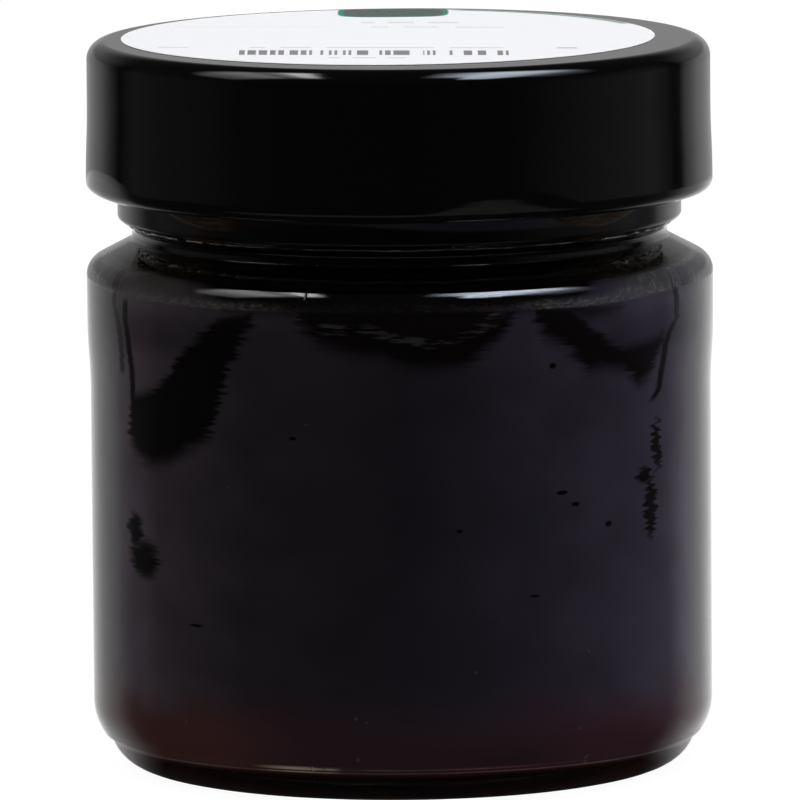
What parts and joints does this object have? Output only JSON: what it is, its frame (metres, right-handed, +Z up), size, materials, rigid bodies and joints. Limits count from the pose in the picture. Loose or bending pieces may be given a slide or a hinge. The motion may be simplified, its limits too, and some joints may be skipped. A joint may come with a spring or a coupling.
{
  "type": "jar of honey",
  "caption": "Squat round glass jar of very dark honey, shut with a deep black twist-off lid that carries a round white paper label.",
  "frame": {"origin": "middle of the ring that the jar stands on, on the surface under it", "axes": "+Z up along the jar's axis; -Y is the side that is shown first"},
  "size_m": [0.07, 0.07, 0.0815],
  "materials": {
    "glass": "clear, smooth",
    "honey": "nearly black, clear red brown where thin",
    "lid": "gloss black lacquer",
    "gasket": "matt",
    "label": "smooth printed paper"
  },
  "bodies": {
    "root": {"jar_glass": "glass", "honey": "honey", "lid": "lid", "gasket": "gasket", "label": "label"}
  },
  "joints": []
}
